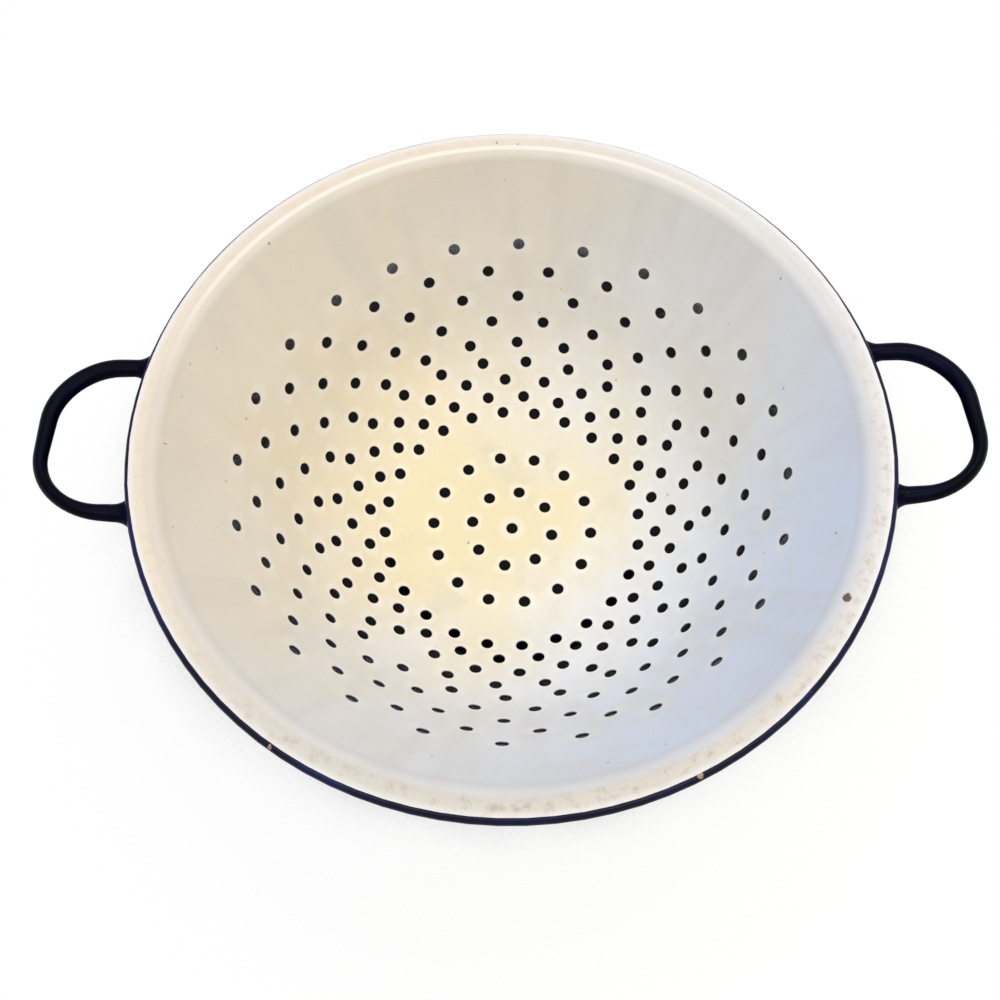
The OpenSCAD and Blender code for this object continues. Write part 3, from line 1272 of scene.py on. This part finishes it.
        # Painted highlight: a pale line along the bend on the far side.
        pale = sheet.times(self.painted_glint_ring.mask(sheet, radius), self.painted_glint_side.mask(sheet, place))
        return sheet.mix(pale, sheet.mix(dull, body, self.painted_bend_shade), self.painted_glint)

    def hole_edges(self, sheet: NodeSheet, place: object, body: object) -> Socket:
        """Adds a painted highlight round each hole and wears its edge down to the iron."""
        near = sheet.add("ShaderNodeAttribute", None, attribute_name="hole_near").outputs["Fac"]
        # Painted highlight: a pale ring round each hole.
        body = sheet.mix(sheet.scaled(near, self.painted_hole_highlight_at, self.painted_hole_highlight_shares), body, self.painted_hole_highlight)
        worn = sheet.times(sheet.scaled(near, self.worn_at), self.worn.mask(sheet, place))
        return sheet.mix(worn, body, self.iron)

    def shade(self, sheet: NodeSheet) -> Socket:
        """Adds the material's nodes and gives its shader."""
        place = sheet.add("ShaderNodeTexCoord").outputs["Object"]
        radius = sheet.from_axis(place)
        wall = self.wall(sheet, place, sheet.noise(place, self.cloud_grain, 3.0))
        body = sheet.mix(sheet.scaled(radius, self.flange_at), wall, self.flange(sheet, place, radius))
        body = self.bend(sheet, place, radius, body)
        specks = Specks.mask(sheet, place, *self.specks)
        body = sheet.mix(sheet.times(specks, self.speck_share), body, self.dirt)
        body = sheet.mix(sheet.times(marks_mask(sheet, place, self.spots), self.spot_share), body, self.dirt)
        chipped = marks_mask(sheet, place, self.chips)
        body = self.hole_edges(sheet, place, sheet.mix(chipped, body, self.bare))
        pitted = sheet.math("SUBTRACT", self.surface(sheet, place, specks), chipped)
        return self.glaze(sheet, place, body, pitted)


@dataclass(frozen=True)
class BlueEnamel(Enamel):
    """Very dark blue enamel, glossy where whole, dull and brown where worn."""

    colour: Colour = (0.0035, 0.0045, 0.022)
    pale: Colour = (0.010, 0.014, 0.075)
    worn: Colour = (0.06, 0.05, 0.045)
    bare: Colour = (0.42, 0.31, 0.23)
    clouds: Patches = Patches(40.0, 3.0, 0.5, (0.4, 0.75))
    sheen: Patches = Patches(120.0, 4.0, 0.5, (0.3, 0.75), (0.16, 0.36))
    specks: tuple[float, float, float] = (420.0, 0.10, 0.22)
    speck_share: float = 0.8
    wave_grain: float = 150.0
    wave_height: float = 1.0
    pit_depth: float = 0.5
    bump: float = 0.3
    specular: float = 0.12
    chips: tuple[Mark, ...] = (Mark(56.9, -126.2, 1.25), Mark(-79.6, -114.2, 0.8))

    def shade(self, sheet: NodeSheet) -> Socket:
        """Adds the material's nodes and gives its shader."""
        place = sheet.add("ShaderNodeTexCoord").outputs["Object"]
        body = sheet.mix(self.clouds.mask(sheet, place), self.colour, self.pale)
        specks = Specks.mask(sheet, place, *self.specks)
        body = sheet.mix(sheet.times(specks, self.speck_share), body, self.worn)
        body = sheet.mix(marks_mask(sheet, place, self.chips), body, self.bare)
        return self.glaze(sheet, place, body, self.surface(sheet, place, specks))


@dataclass(frozen=True)
class BareSteel(Finish):
    """Dull grey sheet steel with a bloom of rust."""

    colour: Colour = (0.28, 0.27, 0.26)
    rust: Colour = (0.17, 0.07, 0.03)
    bloom: Patches = Patches(130.0, 5.0, 0.7, (0.5, 0.68))
    sheen: Patches = Patches(400.0, 3.0, 0.5, (0.3, 0.7), (0.4, 0.75))
    bump: float = 0.4
    bump_depth: float = 0.3 * MM
    rusty_metal: float = 0.05

    def shade(self, sheet: NodeSheet) -> Socket:
        """Adds the material's nodes and gives its shader."""
        place = sheet.add("ShaderNodeTexCoord").outputs["Object"]
        bloom = self.bloom.mask(sheet, place)
        bumped = {"Strength": self.bump, "Distance": self.bump_depth, "Height": bloom}
        inputs = {
            "Base Color": sheet.mix(bloom, self.colour, self.rust),
            "Metallic": sheet.scaled(bloom, (0.0, 1.0), (1.0, self.rusty_metal)),
            "Roughness": self.sheen.mask(sheet, place),
            "Normal": sheet.add("ShaderNodeBump", bumped).outputs[0],
        }
        return sheet.add("ShaderNodeBsdfPrincipled", inputs).outputs[0]


@dataclass(frozen=True)
class PaleFloor(Finish):
    """Plain floor that looks white, with a painted shadow where the bowl stands close over it, and clear from
    below.

    The dark place reaches to the far side, where the photograph looks down through the bowl's holes.
    """

    seen: Colour = (1.2, 1.2, 1.2)
    lit: Colour = (0.45, 0.45, 0.45)
    glow: float = 0.92
    shadow_reach: float = 0.2
    shadow_lean: float = 29.0
    shadow_samples: int = 32
    shadow_at: Band = (0.66, 0.785)
    darkest: float = 0.01

    def shade(self, sheet: NodeSheet) -> Socket:
        """Adds the material's nodes and gives its shader."""
        # Painted shadow: occlusion under a leaning normal darkens the floor's seen colour round and behind
        # the bowl.
        lean = math.radians(self.shadow_lean)
        leaning = sheet.add("ShaderNodeCombineXYZ", {1: -math.sin(lean), 2: math.cos(lean)}).outputs[0]
        reach = {"Distance": self.shadow_reach, "Normal": leaning}
        sky = sheet.add("ShaderNodeAmbientOcclusion", reach, samples=self.shadow_samples).outputs["AO"]
        open_sky = sheet.scaled(sky, self.shadow_at, (self.darkest, 1.0))
        white = sheet.add("ShaderNodeEmission", {"Color": open_sky, "Strength": 1.0}).outputs[0]
        pale_colour = sheet.mix(open_sky, (0.0, 0.0, 0.0), self.seen)
        pale = sheet.add("ShaderNodeBsdfDiffuse", {"Color": pale_colour}).outputs[0]
        lit = sheet.add("ShaderNodeBsdfDiffuse", {"Color": self.lit}).outputs[0]
        clear = sheet.add("ShaderNodeBsdfTransparent").outputs[0]
        seen = self.blend(sheet, self.glow, pale, white)
        floor = self.blend(sheet, looked_at(sheet), lit, seen)
        underneath = sheet.add("ShaderNodeNewGeometry").outputs["Backfacing"]
        return self.blend(sheet, sheet.times(underneath, looked_at(sheet)), floor, clear)

    def blend(self, sheet: NodeSheet, share: object, first: Socket, second: Socket) -> Socket:
        """Mixes two shaders."""
        return sheet.add("ShaderNodeMixShader", {0: share, 1: first, 2: second}).outputs[0]


def looked_at(sheet: NodeSheet) -> Socket:
    """Gives 1 for rays from the camera, directly or by way of gloss and glass."""
    path = sheet.add("ShaderNodeLightPath").outputs
    mirrored = sheet.math("MAXIMUM", path["Is Glossy Ray"], path["Is Transmission Ray"])
    return sheet.math("MAXIMUM", path["Is Camera Ray"], mirrored)


@dataclass(frozen=True)
class SoftLamp:
    """A large square lamp that points at the middle of the bowl."""

    name: str
    azimuth: float
    elevation: float
    power: tuple[float, float, float]
    distance: float = 1.3
    size: float = 0.7

    def build(self, target: Vector) -> None:
        """Adds the lamp."""
        data = bpy.data.lights.new(self.name, "AREA")
        data.size = self.size
        data.energy = max(self.power)
        data.color = [part / data.energy for part in self.power]
        lamp = linked(self.name, data)
        away = line_of_sight(self.azimuth, self.elevation)
        lamp.location = target + away * self.distance
        lamp.rotation_euler = away.to_track_quat("Z", "Y").to_euler()


@dataclass
class Studio:
    """Floor, lamps and world."""

    target: Vector
    lamps: tuple[SoftLamp, ...] = (
        SoftLamp("top_lamp", -90, 82, (2.7, 2.7, 2.6)),
        SoftLamp("warm_lamp", -45, 58, (4.5, 3.7, 2.7)),
        SoftLamp("near_lamp", -135, 58, (2.9, 3.1, 3.2)),
        SoftLamp("right_lamp", 30, 58, (4.2, 4.1, 3.9)),
        SoftLamp("cool_lamp", 135, 62, (2.0, 2.4, 3.0)),
        SoftLamp("back_lamp", 85, 62, (2.5, 2.5, 2.6)),
    )
    world_level: float = 0.11
    floor_side: float = 6.0

    def build(self) -> None:
        """Builds all of the studio."""
        self.build_floor()
        self.build_world()
        for lamp in self.lamps:
            lamp.build(self.target)

    def build_floor(self) -> None:
        """Adds the floor that the foot ring stands on."""
        mesh = bmesh.new()
        bmesh.ops.create_grid(mesh, x_segments=2, y_segments=2, size=self.floor_side / 2)
        data = bpy.data.meshes.new("floor")
        mesh.to_mesh(data)
        mesh.free()
        floor = linked("floor", data)
        data.materials.append(PaleFloor("pale_floor", "").build())

    def build_world(self) -> None:
        """Sets a soft even light from all sides that looks white."""
        world = bpy.data.worlds.new("studio")
        world.use_nodes = True
        world.node_tree.nodes.clear()
        sheet = NodeSheet(world.node_tree)
        level = sheet.scaled(looked_at(sheet), (0.0, 1.0), (self.world_level, 1.0))
        light = sheet.add("ShaderNodeBackground", {"Color": (1.0, 1.0, 1.0), "Strength": level})
        out = sheet.add("ShaderNodeOutputWorld")
        sheet.plug(light.outputs[0], out.inputs["Surface"])
        bpy.context.scene.world = world


@dataclass(frozen=True)
class Viewpoint:
    """The photograph's viewpoint: looking down at the rim from the near side."""

    rim_middle: Vector
    azimuth: float = -90.66
    elevation: float = 61.74
    distance: float = 0.4344
    roll: float = -0.69
    lens: float = 42.94
    shift: tuple[float, float] = (-0.0108, -0.0744)
    sensor: float = 36.0
    clip: tuple[float, float] = (0.01, 50.0)

    def build(self) -> None:
        """Adds the camera and makes it the scene's."""
        data = bpy.data.cameras.new("camera")
        data.lens = self.lens
        data.sensor_width = self.sensor
        data.shift_x, data.shift_y = self.shift
        data.clip_start, data.clip_end = self.clip
        camera = linked("camera", data)
        around = math.radians(self.azimuth)
        back = line_of_sight(self.azimuth, self.elevation)
        right = Vector((-math.sin(around), math.cos(around), 0.0))
        axes = Matrix((right, back.cross(right), back)).transposed()
        turned = axes @ Matrix.Rotation(math.radians(self.roll), 3, "Z")
        camera.matrix_world = Matrix.Translation(self.rim_middle + back * self.distance) @ turned.to_4x4()
        bpy.context.scene.camera = camera


@dataclass
class Colander:
    """The whole colander: coats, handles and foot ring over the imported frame."""

    line: BowlLine
    cream: CreamEnamel = CreamEnamel("aged_cream_enamel", "cream_enamel")
    blue: BlueEnamel = BlueEnamel("aged_blue_enamel", "blue_enamel")
    bar: BlueEnamel = BlueEnamel(
        "aged_bar_enamel", "enamelled_steel", colour=(0.0006, 0.0009, 0.005), pale=(0.0022, 0.0034, 0.022),
        worn=(0.03, 0.024, 0.018), specular=0.03,
    )
    steel: BareSteel = BareSteel("dull_steel", "bare_steel")

    def build(self) -> list[bpy.types.Object]:
        """Builds and dresses every piece.

        Returns:
            The new pieces.
        """
        pattern = HolePattern(self.line)
        inside = Coat("cream_coat", Side.INSIDE, self.line, pattern).build()
        outside = Coat("blue_coat", Side.OUTSIDE, self.line, pattern).build()
        right = Handle("right_handle_bar", self.line).build()
        left = Handle("left_handle_bar", self.line, mirrored=True).build()
        foot = FootRing(self.line).build()
        stands_for = {
            inside: ("inner_enamel", self.cream),
            outside: ("outer_enamel", self.blue),
            right: ("right_handle", self.bar),
            left: ("left_handle", self.bar),
            foot: ("foot_ring", self.bar),
        }
        for piece, (node, finish) in stands_for.items():
            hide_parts(node)
            finish.dress(piece)
        for node in ("bowl_sheet", "rim_wire"):
            self.steel.dress_node(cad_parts[node])
        return list(stands_for)


def main() -> None:
    """Builds the pieces, dresses them and sets light and camera."""
    logging.basicConfig(level=logging.INFO)
    low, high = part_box("inner_enamel")
    line = BowlLine(base_z=low.z + Coat.coat_t, rim_z=high.z)
    Viewpoint(Vector((0, 0, high.z))).build()
    for piece in Colander(line).build():
        LOG.info("%s: %d faces", piece.name, len(piece.data.polygons))
    Studio(Vector((0, 0, line.base_z))).build()
    bpy.context.scene.view_settings.view_transform = "Standard"


if __name__ == "__main__":
    main()
